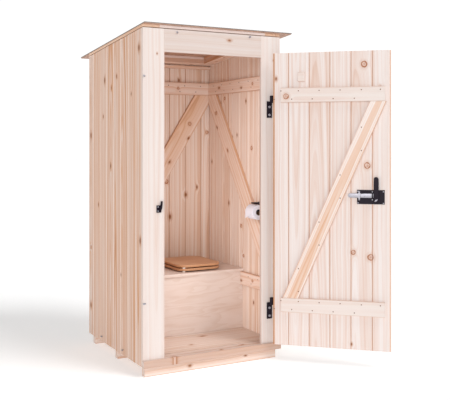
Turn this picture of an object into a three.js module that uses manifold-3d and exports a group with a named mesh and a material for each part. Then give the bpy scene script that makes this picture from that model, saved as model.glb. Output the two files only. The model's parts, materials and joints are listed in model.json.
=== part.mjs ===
// A small wooden outhouse: a board cabin on three skids with a lean-to roof, a bench seat and a ledged, braced door.
// Millimetres, +Z up. The origin is the centre of the middle skid's underside. The door side faces -Y.
import * as THREE from "three";
import { mergeVertices } from "three/addons/utils/BufferGeometryUtils.js";
import Module from "manifold-3d";

const wasm = await Module();
wasm.setup();

// Driving dimensions
const GAP = 0.3; // between pieces that touch
const WIDTH = 1000;
const DEPTH = 1015;
const BOARD = 20; // thickness of wall, door and ledge boards
const FRONT_Y = -486;
const BACK_Y = FRONT_Y + DEPTH;
const INNER_X = WIDTH / 2 - BOARD; // inner faces of the side walls
const INNER_BACK_Y = BACK_Y - BOARD;
const INNER_FRONT_Y = FRONT_Y + BOARD;

const SKID = { deep: 44, high: 57, left: -487, right: 466, fromFront: 22, fromBack: 81 };
const WALL_BOTTOM = 60;
const SILL = { out: 20, deep: 95, bottom: SKID.high + GAP, top: 103 };
const FLOOR = { bottom: 80, top: 105 };
const BEARER_WIDTH = 70;

const ROOF_FRONT_Z = 2162; // top of the walls at the front face
const ROOF_SLOPE = -0.0834;
const ROOF = { sheet: 7, felt: 2, overLeft: -8, overRight: 87, overFront: 12, overBack: 205, lip: 3 };
const ROOF_RIM = { from: 5, to: 23 }; // above the tops of the walls, with a shadow gap below it
const ROOF_BOARD = { wide: 95, thick: 33 };

const STILE_WIDTH = 146;
const OPENING_X = WIDTH / 2 - STILE_WIDTH;
const LINTEL_BOTTOM = 2017;

const LEDGE = 95; // width of ledge and brace boards
const WALL_LEDGE_Z = { upper: 1818, lower: 419 };
const WALL_BRACE = { wide: 140, rise: 1.45, topBack: 527 };
const BACK_BRACE = { rise: 1.6, topLeft: 344 };

const BENCH = { front: -36, top: 535, board: 20, panel: 15, overhang: 14 };
const SEAT = { left: -18, right: 322, front: -8, back: 406, corner: 78, ring: 16, lid: 16 };
const SEAT_HOLE = { wide: 215, deep: 265 };
const SEAT_GAP = 9;

const DOOR = { hingeX: 394, width: 755, faceY: FRONT_Y - 5, bottom: 108, top: 2043, tongue: 9 };
const DOOR_LEDGE = { start: 47, end: 723, upper: 1715, lower: 330 };
const DOOR_BRACE = { bottomStart: 60, topStart: 629 };
const PIN = { x: 417, y: FRONT_Y - 32, radius: 7, eye: 13 };
const DOOR_OPEN = THREE.MathUtils.degToRad(136.3);
const HINGE_Z = { upper: 1616, lower: 266 };
const PLATE = { wide: 40, high: 110, thick: 4 };
const STRAP = { long: 380, thick: 4, wide: 40 };
const LATCH = { left: 545, right: 721, bottom: 1052, high: 92, thick: 3 };
const BOLT = { left: 487, right: 681, z: 1093, high: 28, thick: 6 };
const LEVER = { s: 668, z: 1078, width: 30, tall: 150, radius: 17, thick: 8 };
const ROLL = { y: -300, z: 968, radius: 51, core: 20, long: 98 };
const ROLL_X = INNER_X - 62;

const root = new THREE.Group();
const materials = {
  spruce: new THREE.MeshStandardMaterial({ color: 0xe3c4a6, roughness: 0.75, metalness: 0 }),
  pale: new THREE.MeshStandardMaterial({ color: 0xeedfd2, roughness: 0.75, metalness: 0 }),
  ply: new THREE.MeshStandardMaterial({ color: 0xe3c3b2, roughness: 0.7, metalness: 0 }),
  seat: new THREE.MeshStandardMaterial({ color: 0xcf9e77, roughness: 0.5, metalness: 0 }),
  felt: new THREE.MeshStandardMaterial({ color: 0x4a4846, roughness: 0.95, metalness: 0 }),
  black: new THREE.MeshStandardMaterial({ color: 0x241a24, roughness: 0.5, metalness: 0.6 }),
  zinc: new THREE.MeshStandardMaterial({ color: 0xb9b9be, roughness: 0.35, metalness: 0.9 }),
  paper: new THREE.MeshStandardMaterial({ color: 0xf4f1ee, roughness: 0.95, metalness: 0 }),
};

// Helpers
function addMesh(parent, name, geometry, material) {
  const mesh = new THREE.Mesh(geometry, material);
  mesh.name = name;
  parent.add(mesh);
  return mesh;
}

function boxBetween(low, high) {
  const size = high.map((value, axis) => value - low[axis]);
  const geometry = new THREE.BoxGeometry(...size);
  return geometry.translate(...low.map((value, axis) => value + size[axis] / 2));
}

// An outline in the X-Z plane, made solid from y0 to y1.
function plateXZ(points, y0, y1) {
  const outline = points instanceof THREE.Shape ? points : new THREE.Shape(points.map((p) => new THREE.Vector2(...p)));
  const geometry = new THREE.ExtrudeGeometry(outline, { depth: y1 - y0, bevelEnabled: false, curveSegments: 10 });
  return geometry.rotateX(Math.PI / 2).translate(0, y1, 0);
}

// An outline in the Y-Z plane, made solid from x0 to x1.
function plateYZ(points, x0, x1) {
  const outline = points instanceof THREE.Shape ? points : new THREE.Shape(points.map((p) => new THREE.Vector2(...p)));
  const geometry = new THREE.ExtrudeGeometry(outline, { depth: x1 - x0, bevelEnabled: false, curveSegments: 10 });
  return geometry.rotateX(Math.PI / 2).rotateZ(Math.PI / 2).translate(x0, 0, 0);
}

function upright(radius, x, y, z0, z1, sides = 20) {
  const geometry = new THREE.CylinderGeometry(radius, radius, z1 - z0, sides);
  return geometry.rotateX(Math.PI / 2).translate(x, y, (z0 + z1) / 2);
}

function toSolid(geometry) {
  const plain = geometry.clone();
  plain.deleteAttribute("normal");
  plain.deleteAttribute("uv");
  const merged = mergeVertices(plain, 1e-3);
  const vertProperties = new Float32Array(merged.attributes.position.array);
  const triVerts = new Uint32Array(merged.index.array);
  return new wasm.Manifold(new wasm.Mesh({ numProp: 3, vertProperties, triVerts }));
}

function fromSolid(solid) {
  const mesh = solid.getMesh();
  const geometry = new THREE.BufferGeometry();
  geometry.setAttribute("position", new THREE.BufferAttribute(new Float32Array(mesh.vertProperties), 3));
  geometry.setIndex(new THREE.BufferAttribute(new Uint32Array(mesh.triVerts), 1));
  geometry.computeVertexNormals();
  return geometry;
}

function join(...geometries) {
  return fromSolid(geometries.map(toSolid).reduce((whole, piece) => whole.add(piece)));
}

function cut(geometry, ...tools) {
  return fromSolid(tools.map(toSolid).reduce((whole, tool) => whole.subtract(tool), toSolid(geometry)));
}

// Height of the walls' tops over a place.
function roofZ(y) {
  return ROOF_FRONT_Z + ROOF_SLOPE * (y - FRONT_Y);
}

// A sloping board that follows the walls' tops, from drop to drop + thick below them.
function underRoof(x0, x1, y0, y1, drop, thick) {
  const outline = [
    [y0, roofZ(y0) - drop - thick],
    [y1, roofZ(y1) - drop - thick],
    [y1, roofZ(y1) - drop],
    [y0, roofZ(y0) - drop],
  ];
  return plateYZ(outline, x0, x1);
}

function addBase(parent) {
  const centres = {
    front: FRONT_Y + SKID.fromFront,
    middle: 0,
    back: BACK_Y - SKID.fromBack,
  };
  for (const [place, y] of Object.entries(centres)) {
    const low = [SKID.left, y - SKID.deep / 2, 0];
    const high = [SKID.right, y + SKID.deep / 2, SKID.high];
    addMesh(parent, "skid_" + place, boxBetween(low, high), materials.spruce);
  }
  // The sill runs the full width in front of the side walls, and between them behind.
  const sillBack = FRONT_Y - SILL.out + SILL.deep;
  const sillFront = boxBetween(
    [-WIDTH / 2, FRONT_Y - SILL.out, SILL.bottom],
    [WIDTH / 2, INNER_FRONT_Y, SILL.top],
  );
  const sillInside = boxBetween(
    [-INNER_X + GAP, INNER_FRONT_Y - 1, SILL.bottom],
    [INNER_X - GAP, sillBack, SILL.top],
  );
  addMesh(parent, "sill", join(sillFront, sillInside), materials.pale);
  for (const [side, sign] of [["left", -1], ["right", 1]]) {
    const outer = INNER_X - GAP;
    const xs = [sign * outer, sign * (outer - BEARER_WIDTH)].sort((a, b) => a - b);
    const low = [xs[0], sillBack + GAP, SKID.high + GAP];
    const high = [xs[1], INNER_BACK_Y - GAP, FLOOR.bottom - GAP];
    addMesh(parent, "floor_bearer_" + side, boxBetween(low, high), materials.spruce);
  }
  const floorLow = [-INNER_X + GAP, sillBack + GAP, FLOOR.bottom];
  const floorHigh = [INNER_X - GAP, INNER_BACK_Y - GAP, FLOOR.top];
  addMesh(parent, "floor", boxBetween(floorLow, floorHigh), materials.spruce);
}

function addWalls(parent) {
  const wallTop = (y) => roofZ(y) - GAP;
  const sideOutline = [
    [INNER_FRONT_Y + GAP, WALL_BOTTOM],
    [BACK_Y, WALL_BOTTOM],
    [BACK_Y, wallTop(BACK_Y)],
    [INNER_FRONT_Y + GAP, wallTop(INNER_FRONT_Y)],
  ];
  addMesh(parent, "left_wall", plateYZ(sideOutline, -WIDTH / 2, -INNER_X), materials.spruce);
  addMesh(parent, "right_wall", plateYZ(sideOutline, INNER_X, WIDTH / 2), materials.spruce);
  const backOutline = [
    [INNER_BACK_Y, WALL_BOTTOM],
    [BACK_Y, WALL_BOTTOM],
    [BACK_Y, wallTop(BACK_Y)],
    [INNER_BACK_Y, wallTop(INNER_BACK_Y)],
  ];
  addMesh(parent, "back_wall", plateYZ(backOutline, -INNER_X + GAP, INNER_X - GAP), materials.spruce);
}

function addDoorway(parent) {
  const front = (x0, x1, bottom) => {
    const outline = [
      [FRONT_Y, bottom],
      [INNER_FRONT_Y, bottom],
      [INNER_FRONT_Y, roofZ(INNER_FRONT_Y) - GAP],
      [FRONT_Y, roofZ(FRONT_Y) - GAP],
    ];
    return plateYZ(outline, x0, x1);
  };
  const stileBottom = SILL.top + GAP;
  const pocketLow = [-OPENING_X - 24, FRONT_Y - 1, BOLT.z - 5];
  const pocketHigh = [-OPENING_X + 1, FRONT_Y + 9, BOLT.z + BOLT.high + 5];
  const leftStile = cut(front(-WIDTH / 2, -OPENING_X, stileBottom), boxBetween(pocketLow, pocketHigh));
  addMesh(parent, "stile_left", leftStile, materials.pale);
  addMesh(parent, "stile_right", front(OPENING_X, WIDTH / 2, stileBottom), materials.pale);
  addMesh(parent, "lintel", front(-OPENING_X + GAP, OPENING_X - GAP, LINTEL_BOTTOM), materials.pale);
}

function addRoof(parent) {
  const left = -WIDTH / 2 - ROOF.overLeft;
  const right = WIDTH / 2 + ROOF.overRight;
  const y0 = FRONT_Y - ROOF.overFront;
  const y1 = BACK_Y + ROOF.overBack;
  const top = ROOF_RIM.to + ROOF.sheet;
  addMesh(parent, "roof_sheet", underRoof(left, right, y0, y1, -top, ROOF.sheet), materials.ply);
  const rim = ROOF.felt + GAP;
  const outer = underRoof(left - rim, right + rim, y0 - rim, y1 + rim, -top - rim, rim + ROOF.lip);
  const inner = underRoof(left - GAP, right + GAP, y0 - GAP, y1 + GAP, -top - GAP, ROOF.lip + ROOF.sheet);
  addMesh(parent, "roof_felt", cut(outer, inner), materials.felt);
  const high = ROOF_RIM.to - GAP;
  const rimThick = high - ROOF_RIM.from - GAP;
  const edge = WIDTH / 2;
  const inset = WIDTH / 2 - INNER_X + ROOF_BOARD.wide;
  const whole = underRoof(-edge, edge, FRONT_Y, BACK_Y, -high, rimThick);
  const open = underRoof(-edge + inset, edge - inset, FRONT_Y + inset, BACK_Y - inset, -high - 9, rimThick + 18);
  addMesh(parent, "roof_rim", cut(whole, open), materials.spruce);
  const inside = INNER_X - GAP;
  const run = inside - ROOF_BOARD.wide;
  const front = INNER_FRONT_Y + GAP;
  const back = INNER_BACK_Y - GAP;
  const frames = {
    roof_frame_front: [-inside, inside, front, front + ROOF_BOARD.wide],
    roof_frame_back: [-inside, inside, back - ROOF_BOARD.wide, back],
    roof_frame_left: [-inside, -run, front + ROOF_BOARD.wide + GAP, back - ROOF_BOARD.wide - GAP],
    roof_frame_right: [run, inside, front + ROOF_BOARD.wide + GAP, back - ROOF_BOARD.wide - GAP],
  };
  for (const [name, [x0, x1, ya, yb]] of Object.entries(frames)) {
    addMesh(parent, name, underRoof(x0, x1, ya, yb, -ROOF_RIM.from, ROOF_BOARD.thick), materials.spruce);
  }
}

// The ledges and the sloping brace on the inside of a side wall. The lower ledge carries the bench's side.
function addSideBracing(parent, side, sign) {
  const faceX = INNER_X - GAP;
  const xs = [sign * faceX, sign * (faceX - BOARD)].sort((a, b) => a - b);
  const front = INNER_FRONT_Y + GAP;
  const back = INNER_BACK_Y - BOARD - 2 * GAP;
  for (const [level, z] of Object.entries(WALL_LEDGE_Z)) {
    const ledge = boxBetween([xs[0], front, z], [xs[1], back, z + LEDGE]);
    addMesh(parent, "ledge_" + side + "_" + level, ledge, materials.spruce);
  }
  const bottom = BENCH.top + GAP;
  const top = WALL_LEDGE_Z.upper - GAP;
  const run = (top - bottom) / WALL_BRACE.rise;
  const slant = WALL_BRACE.wide * Math.hypot(1, 1 / WALL_BRACE.rise);
  const topBack = WALL_BRACE.topBack;
  const outline = [
    [topBack - run - slant, bottom],
    [topBack - run, bottom],
    [topBack, top],
    [topBack - slant, top],
  ];
  const brace = toSolid(plateYZ(outline, xs[0], xs[1]));
  const inside = toSolid(boxBetween([xs[0] - 1, front, bottom], [xs[1] + 1, back, top]));
  addMesh(parent, "brace_" + side, fromSolid(brace.intersect(inside)), materials.spruce);
}

function addBackBracing(parent) {
  const y1 = INNER_BACK_Y - GAP;
  const y0 = y1 - BOARD;
  const x = INNER_X - GAP;
  const z = WALL_LEDGE_Z.upper;
  addMesh(parent, "ledge_back_upper", boxBetween([-x, y0, z], [x, y1, z + LEDGE]), materials.spruce);
  const rail = [roofZ(y0) - ROOF_BOARD.thick - 3 * GAP - 26, roofZ(y1) - ROOF_BOARD.thick - 3 * GAP];
  addMesh(parent, "rail_back", boxBetween([-x, y0, rail[0]], [x, y1, rail[1]]), materials.spruce);
  const top = z - GAP;
  const bottom = BENCH.top + GAP;
  const run = (top - bottom) / BACK_BRACE.rise;
  const slant = WALL_BRACE.wide * Math.hypot(1, 1 / BACK_BRACE.rise);
  const topLeft = BACK_BRACE.topLeft;
  const outline = [
    [topLeft - run, bottom],
    [topLeft - run + slant, bottom],
    [topLeft + slant, top],
    [topLeft, top],
  ];
  const brace = toSolid(plateXZ(outline, y0, y1));
  const inside = toSolid(boxBetween([-x, y0 - 1, bottom], [x, y1 + 1, top]));
  addMesh(parent, "brace_back", fromSolid(brace.intersect(inside)), materials.spruce);
}

function roundedOutline(x0, x1, y0, y1, radius) {
  const shape = new THREE.Shape();
  shape.moveTo(x0 + radius, y0);
  shape.lineTo(x1 - radius, y0);
  shape.absarc(x1 - radius, y0 + radius, radius, -Math.PI / 2, 0);
  shape.lineTo(x1, y1 - radius);
  shape.absarc(x1 - radius, y1 - radius, radius, 0, Math.PI / 2);
  shape.lineTo(x0 + radius, y1);
  shape.absarc(x0 + radius, y1 - radius, radius, Math.PI / 2, Math.PI);
  shape.lineTo(x0, y0 + radius);
  shape.absarc(x0 + radius, y0 + radius, radius, Math.PI, Math.PI * 1.5);
  return shape;
}

function level(shape, z0, z1) {
  const geometry = new THREE.ExtrudeGeometry(shape, { depth: z1 - z0, bevelEnabled: false, curveSegments: 10 });
  return geometry.translate(0, 0, z0);
}

function ellipse(x, y, wide, deep) {
  const shape = new THREE.Shape();
  shape.absellipse(x, y, wide / 2, deep / 2, 0, Math.PI * 2);
  return shape;
}

function addBench(parent) {
  const x = INNER_X - GAP;
  const back = INNER_BACK_Y - BOARD - 2 * GAP;
  const topLow = [-x, BENCH.front, BENCH.top - BENCH.board];
  const top = boxBetween(topLow, [x, back + BOARD + GAP, BENCH.top]);
  const centre = [(SEAT.left + SEAT.right) / 2, (SEAT.front + SEAT.back) / 2 - 20];
  const benchHole = level(ellipse(...centre, SEAT_HOLE.wide + 10, SEAT_HOLE.deep + 10), 400, 600);
  addMesh(parent, "bench_top", cut(top, benchHole), materials.ply);
  const panelFront = BENCH.front + BENCH.overhang;
  const panelLow = [-x, panelFront, FLOOR.top + GAP];
  const panelHigh = [x, panelFront + BENCH.panel, BENCH.top - BENCH.board - GAP];
  // The panel is notched round the side walls' lower ledges.
  const notches = [-1, 1].map((sign) => {
    const xs = [sign * (x + 1), sign * (x - BOARD - GAP)].sort((a, b) => a - b);
    return boxBetween([xs[0], panelFront - 1, WALL_LEDGE_Z.lower - GAP], [xs[1], panelHigh[1] + 1, BENCH.top]);
  });
  addMesh(parent, "bench_front", cut(boxBetween(panelLow, panelHigh), ...notches), materials.ply);

  const outline = roundedOutline(SEAT.left, SEAT.right, SEAT.front, SEAT.back, SEAT.corner);
  const ringBottom = BENCH.top + SEAT_GAP;
  const ringTop = ringBottom + SEAT.ring;
  const ringPlate = level(outline, ringBottom, ringTop);
  const ringHole = level(ellipse(...centre, SEAT_HOLE.wide, SEAT_HOLE.deep), 400, 700);
  const bumper = (dx, dy, z0, z1) => upright(10, centre[0] + dx, centre[1] + dy, z0, z1, 12);
  const places = [[-125, -150], [125, -150], [-125, 150], [125, 150]];
  const ringFeet = places.map(([dx, dy]) => bumper(dx, dy, BENCH.top + GAP, ringBottom + 1));
  addMesh(parent, "seat_ring", cut(join(ringPlate, ...ringFeet), ringHole), materials.seat);

  const lid = new THREE.Group();
  parent.add(lid);
  const lidBottom = ringTop + SEAT_GAP;
  const lidTop = lidBottom + SEAT.lid;
  const lidFeet = places.map(([dx, dy]) => bumper(dx, dy, ringTop + GAP, lidBottom + 1));
  addMesh(lid, "seat_lid", join(level(outline, lidBottom, lidTop), ...lidFeet), materials.seat);

  // Two hinge blocks at the back edge stand on the bench and hold the lid's pin.
  const pinY = SEAT.back + 14;
  const pinZ = lidBottom + 2;
  for (const [side, dx] of [["left", -90], ["right", 90]]) {
    const px = centre[0] + dx;
    const block = boxBetween([px - 18, pinY - 9, BENCH.top + GAP], [px + 18, pinY + 9, pinZ - 9]);
    addMesh(parent, "seat_hinge_" + side, block, materials.zinc);
  }
}

// Everything on the door is laid out with the door shut: s runs from the hinge edge to the free edge.
function shutX(s) {
  return DOOR.hingeX - s;
}

function addDoor(parent) {
  const door = new THREE.Group();
  parent.add(door);
  door.position.set(PIN.x, PIN.y, 0);
  door.rotation.z = DOOR_OPEN;
  const place = new THREE.Group();
  door.add(place);
  place.position.set(-PIN.x, -PIN.y, 0);
  const inner = DOOR.faceY;
  const outer = inner - BOARD;

  const panel = boxBetween([shutX(DOOR.width), outer, DOOR.bottom], [shutX(0), inner, DOOR.top]);
  const tongueLow = [shutX(0) - 1, outer + 7, DOOR.bottom];
  const tongue = boxBetween(tongueLow, [shutX(0) + DOOR.tongue, outer + 13, DOOR.top]);
  addMesh(place, "door_panel", join(panel, tongue), materials.pale);

  const y0 = inner + GAP;
  const y1 = y0 + BOARD;
  for (const level of ["upper", "lower"]) {
    const low = [shutX(DOOR_LEDGE.end), y0, DOOR_LEDGE[level]];
    const high = [shutX(DOOR_LEDGE.start), y1, DOOR_LEDGE[level] + LEDGE];
    addMesh(place, "door_ledge_" + level, boxBetween(low, high), materials.pale);
  }
  const bottom = DOOR_LEDGE.lower + LEDGE + GAP;
  const top = DOOR_LEDGE.upper - GAP;
  const lean = DOOR_BRACE.topStart - DOOR_BRACE.bottomStart;
  const slant = LEDGE / Math.cos(Math.atan(lean / (top - bottom)));
  const braceOutline = [
    [shutX(DOOR_BRACE.bottomStart), bottom],
    [shutX(DOOR_BRACE.topStart), top],
    [shutX(DOOR_BRACE.topStart + slant), top],
    [shutX(DOOR_BRACE.bottomStart + slant), bottom],
  ];
  addMesh(place, "door_brace", plateXZ(braceOutline, y0, y1), materials.pale);
  const block = boxBetween([shutX(205), y0, 1851], [shutX(159), y0 + BOARD, 1911]);
  addMesh(place, "door_block", block, materials.pale);

  addLatch(place, y0);
  addStraps(place, outer - GAP);
}

function addLatch(parent, y0) {
  const plateTop = LATCH.bottom + LATCH.high;
  const plateLow = [shutX(LATCH.right), y0, LATCH.bottom];
  const plate = boxBetween(plateLow, [shutX(LATCH.left), y0 + LATCH.thick, plateTop]);
  addMesh(parent, "latch_plate", plate, materials.black);

  const boltY = y0 + LATCH.thick + GAP;
  const boltEnd = BOLT.high / 2;
  const boltShape = new THREE.Shape();
  boltShape.moveTo(shutX(BOLT.right), BOLT.z);
  boltShape.lineTo(shutX(BOLT.left) - boltEnd, BOLT.z);
  boltShape.absarc(shutX(BOLT.left) - boltEnd, BOLT.z + boltEnd, boltEnd, -Math.PI / 2, Math.PI / 2);
  boltShape.lineTo(shutX(BOLT.right), BOLT.z + BOLT.high);
  addMesh(parent, "latch_bolt", plateXZ(boltShape, boltY, boltY + BOLT.thick), materials.zinc);

  // The guide is a bridge over the bolt, riveted to the plate above and below it.
  const g0 = shutX(646);
  const g1 = shutX(555);
  const wall = 8;
  const clear = 1.5;
  const guideTop = boltY + BOLT.thick + GAP + 3;
  const guide = boxBetween([g0, boltY, BOLT.z - wall - clear], [g1, guideTop, BOLT.z + BOLT.high + wall + clear]);
  const slotLow = [g0 - 1, boltY - 1, BOLT.z - clear];
  const slot = boxBetween(slotLow, [g1 + 1, boltY + BOLT.thick + GAP, BOLT.z + BOLT.high + clear]);
  addMesh(parent, "latch_guide", cut(guide, slot), materials.black);

  const leverY = guideTop + GAP;
  const outline = new THREE.Shape();
  const x = shutX(LEVER.s);
  outline.moveTo(x - LEVER.width / 2, LEVER.z);
  outline.absarc(x, LEVER.z, LEVER.radius, Math.PI, Math.PI * 2);
  outline.lineTo(x + LEVER.width / 2, LEVER.z + LEVER.tall - LEVER.width / 2);
  outline.absarc(x, LEVER.z + LEVER.tall - LEVER.width / 2, LEVER.width / 2, 0, Math.PI);
  addMesh(parent, "latch_lever", plateXZ(outline, leverY, leverY + LEVER.thick), materials.black);
}

// A strap runs across the outside of the door and wraps round the pin in an eye.
function addStraps(parent, y1) {
  for (const [level, plateZ] of Object.entries(HINGE_Z)) {
    const eyeZ = plateZ + PLATE.high - 3;
    const bandZ = eyeZ + STRAP.wide / 2;
    const band = boxBetween(
      [shutX(STRAP.long), y1 - STRAP.thick, bandZ - STRAP.wide / 2],
      [PIN.x - 4, y1, bandZ + STRAP.wide / 2],
    );
    const eye = upright(PIN.eye, PIN.x, PIN.y, eyeZ, eyeZ + STRAP.wide);
    const hole = upright(PIN.radius + 0.6, PIN.x, PIN.y, eyeZ - 1, eyeZ + STRAP.wide + 1);
    addMesh(parent, "strap_" + level, cut(join(band, eye), hole), materials.black);
  }
}

function addPintles(parent) {
  for (const [level, z] of Object.entries(HINGE_Z)) {
    const face = FRONT_Y - GAP;
    const low = [PIN.x - PLATE.wide / 2, face - PLATE.thick, z];
    const plate = boxBetween(low, [PIN.x + PLATE.wide / 2, face, z + PLATE.high]);
    const eyeZ = z + PLATE.high - 3;
    const armLow = [PIN.x - 7, PIN.y, eyeZ - 9];
    const arm = boxBetween(armLow, [PIN.x + 7, face - 1, eyeZ - 2]);
    const collar = upright(PIN.radius + 3, PIN.x, PIN.y, eyeZ - 9, eyeZ - 2);
    const pin = upright(PIN.radius, PIN.x, PIN.y, eyeZ - 6, eyeZ + STRAP.wide + 1);
    addMesh(parent, "pintle_" + level, join(plate, arm, collar, pin), materials.black);
  }
}

// The keeper on the left stile: a screwed plate with a hook that stands forward and curves up.
function addKeeper(parent) {
  const face = FRONT_Y - GAP;
  const plate = boxBetween([-408, face - 3, 1013], [-376, face, 1058]);
  const hook = new THREE.Shape();
  hook.moveTo(-390, 1016);
  hook.quadraticCurveTo(-373, 1030, -373, 1084);
  hook.lineTo(-379, 1084);
  hook.quadraticCurveTo(-380, 1050, -390, 1046);
  const body = plateXZ(hook, face - 18, face - 1);
  addMesh(parent, "keeper", join(plate, body), materials.black);
}

function addRoll(parent) {
  const ring = new THREE.Shape();
  ring.absarc(0, 0, ROLL.radius, 0, Math.PI * 2);
  const core = new THREE.Path();
  core.absarc(0, 0, ROLL.core, 0, Math.PI * 2, true);
  ring.holes.push(core);
  const roll = plateXZ(ring, ROLL.y - ROLL.long / 2, ROLL.y + ROLL.long / 2);
  roll.translate(ROLL_X, 0, ROLL.z);
  addMesh(parent, "toilet_roll", roll, materials.paper);

  // The holder is a wall plate with a short hood over the roll, and an arm behind it with a rod through the core.
  const wallX = INNER_X - GAP;
  const y0 = ROLL.y - ROLL.long / 2;
  const y1 = ROLL.y + ROLL.long / 2;
  const hoodZ = ROLL.z + ROLL.radius + 5;
  const rodZ = ROLL.z + ROLL.core - 1;
  const plate = boxBetween([wallX - 3, y0, rodZ - 10], [wallX, y1 + 8, hoodZ + 10]);
  const hood = boxBetween([ROLL_X - 16, y0, hoodZ], [wallX, y1 - 20, hoodZ + 10]);
  const arm = boxBetween([ROLL_X - 5, y1 + 3, rodZ - 10], [wallX, y1 + 8, rodZ]);
  const rod = boxBetween([ROLL_X - 5, y0 - 8, rodZ - 10], [ROLL_X + 5, y1 + 8, rodZ]);
  addMesh(parent, "roll_holder", join(plate, hood, arm, rod), materials.black);
}

addBase(root);
addWalls(root);
addDoorway(root);
addRoof(root);
addSideBracing(root, "left", -1);
addSideBracing(root, "right", 1);
addBackBracing(root);
addBench(root);
addDoor(root);
addPintles(root);
addKeeper(root);
addRoll(root);

export default root;
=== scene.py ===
import json
import math
import random

import bmesh
import bpy
from mathutils import Matrix, Vector


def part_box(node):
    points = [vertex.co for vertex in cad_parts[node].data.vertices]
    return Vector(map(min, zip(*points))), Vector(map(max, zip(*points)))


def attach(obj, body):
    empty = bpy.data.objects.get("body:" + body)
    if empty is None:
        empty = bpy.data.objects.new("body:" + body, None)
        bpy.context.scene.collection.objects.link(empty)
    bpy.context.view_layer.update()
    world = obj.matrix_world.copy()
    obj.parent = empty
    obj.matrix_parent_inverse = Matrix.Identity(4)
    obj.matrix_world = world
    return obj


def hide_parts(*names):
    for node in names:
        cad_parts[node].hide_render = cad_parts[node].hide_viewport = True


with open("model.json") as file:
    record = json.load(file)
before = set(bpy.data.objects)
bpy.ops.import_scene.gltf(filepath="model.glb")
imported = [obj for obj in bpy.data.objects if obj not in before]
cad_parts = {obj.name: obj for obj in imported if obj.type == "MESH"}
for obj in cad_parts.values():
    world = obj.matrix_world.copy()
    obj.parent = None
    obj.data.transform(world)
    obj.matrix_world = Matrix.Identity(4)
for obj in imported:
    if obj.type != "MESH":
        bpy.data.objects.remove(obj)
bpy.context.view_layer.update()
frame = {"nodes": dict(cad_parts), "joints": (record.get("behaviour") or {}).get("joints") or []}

# ---- Camera ----
# A long lens at chest height, looking level at the door side from the front left.
camera_data = bpy.data.cameras.new("camera")
camera_data.lens = 62.16
camera_data.sensor_width = 36
camera_data.shift_y = -0.1272
camera = bpy.data.objects.new("camera", camera_data)
camera.location = (-2.350, -4.932, 1.448)
camera.rotation_euler = (math.radians(90), 0, math.radians(-28.64))
bpy.context.scene.collection.objects.link(camera)
bpy.context.scene.camera = camera

# ---- Studio ----
# A white room: an even surround, a soft high lamp at the front right, a broad low one at the front
# left, and a soft box in the doorway that lifts the inside. The floor glows, so shadows stay pale.
bpy.context.scene.view_settings.view_transform = "Standard"
SURROUND = 0.31
BACKDROP = 1.05
world = bpy.data.worlds.new("surround")
world.use_nodes = True
room = world.node_tree
ambient = room.nodes["Background"]
backdrop = room.nodes.new("ShaderNodeBackground")
for glow, strength in ((ambient, SURROUND), (backdrop, BACKDROP)):
    glow.inputs["Color"].default_value = (1, 1, 1, 1)
    glow.inputs["Strength"].default_value = strength
seen = room.nodes.new("ShaderNodeLightPath")
either = room.nodes.new("ShaderNodeMixShader")
sources = (seen.outputs["Is Camera Ray"], ambient.outputs[0], backdrop.outputs[0])
for source, socket in zip(sources, either.inputs):
    room.links.new(source, socket)
room.links.new(either.outputs[0], room.nodes["World Output"].inputs["Surface"])
bpy.context.scene.world = world


def add_sun(name, stands_at, strength, spread):
    """A far white lamp that shines on the origin from the direction of stands_at."""
    data = bpy.data.lights.new(name, "SUN")
    data.energy = strength
    data.angle = math.radians(spread)
    lamp = bpy.data.objects.new(name, data)
    lamp.rotation_euler = (-Vector(stands_at)).to_track_quat("-Z", "Y").to_euler()
    bpy.context.scene.collection.objects.link(lamp)


add_sun("key", (1.3, -1.9, 2.6), 1.5, 28)
add_sun("fill", (-3.0, -3.1, 0.5), 1.6, 50)
inside_lamp = bpy.data.lights.new("inside", "AREA")
inside_lamp.shape = "RECTANGLE"
inside_lamp.size = 0.66
inside_lamp.size_y = 1.8
inside_lamp.energy = 3.1
doorway = bpy.data.objects.new("inside", inside_lamp)
doorway.location = (0, -0.455, 1.1)
doorway.rotation_euler = (math.radians(90), 0, 0)
doorway.visible_camera = False
bpy.context.scene.collection.objects.link(doorway)


def colour(text):
    """A colour written as six hex digits, made linear."""
    parts = [int(text[i:i + 2], 16) / 255 for i in (0, 2, 4)]
    return tuple(p / 12.92 if p < 0.04045 else ((p + 0.055) / 1.055) ** 2.4 for p in parts) + (1,)


class Value:
    """A number socket. Used in an expression, it adds the Math nodes that the expression needs."""

    def __init__(self, finish, socket):
        self.finish = finish
        self.socket = socket

    def math(self, operation, *others):
        return self.finish.value("ShaderNodeMath", {"operation": operation}, [self, *others])

    def __add__(self, other):
        return self.math("ADD", other)

    def __sub__(self, other):
        return self.math("SUBTRACT", other)

    def __rsub__(self, other):
        return self.finish.value("ShaderNodeMath", {"operation": "SUBTRACT"}, [other, self])

    def __mul__(self, other):
        return self.math("MULTIPLY", other)

    def __truediv__(self, other):
        return self.math("DIVIDE", other)

    __radd__ = __add__
    __rmul__ = __mul__


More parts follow.
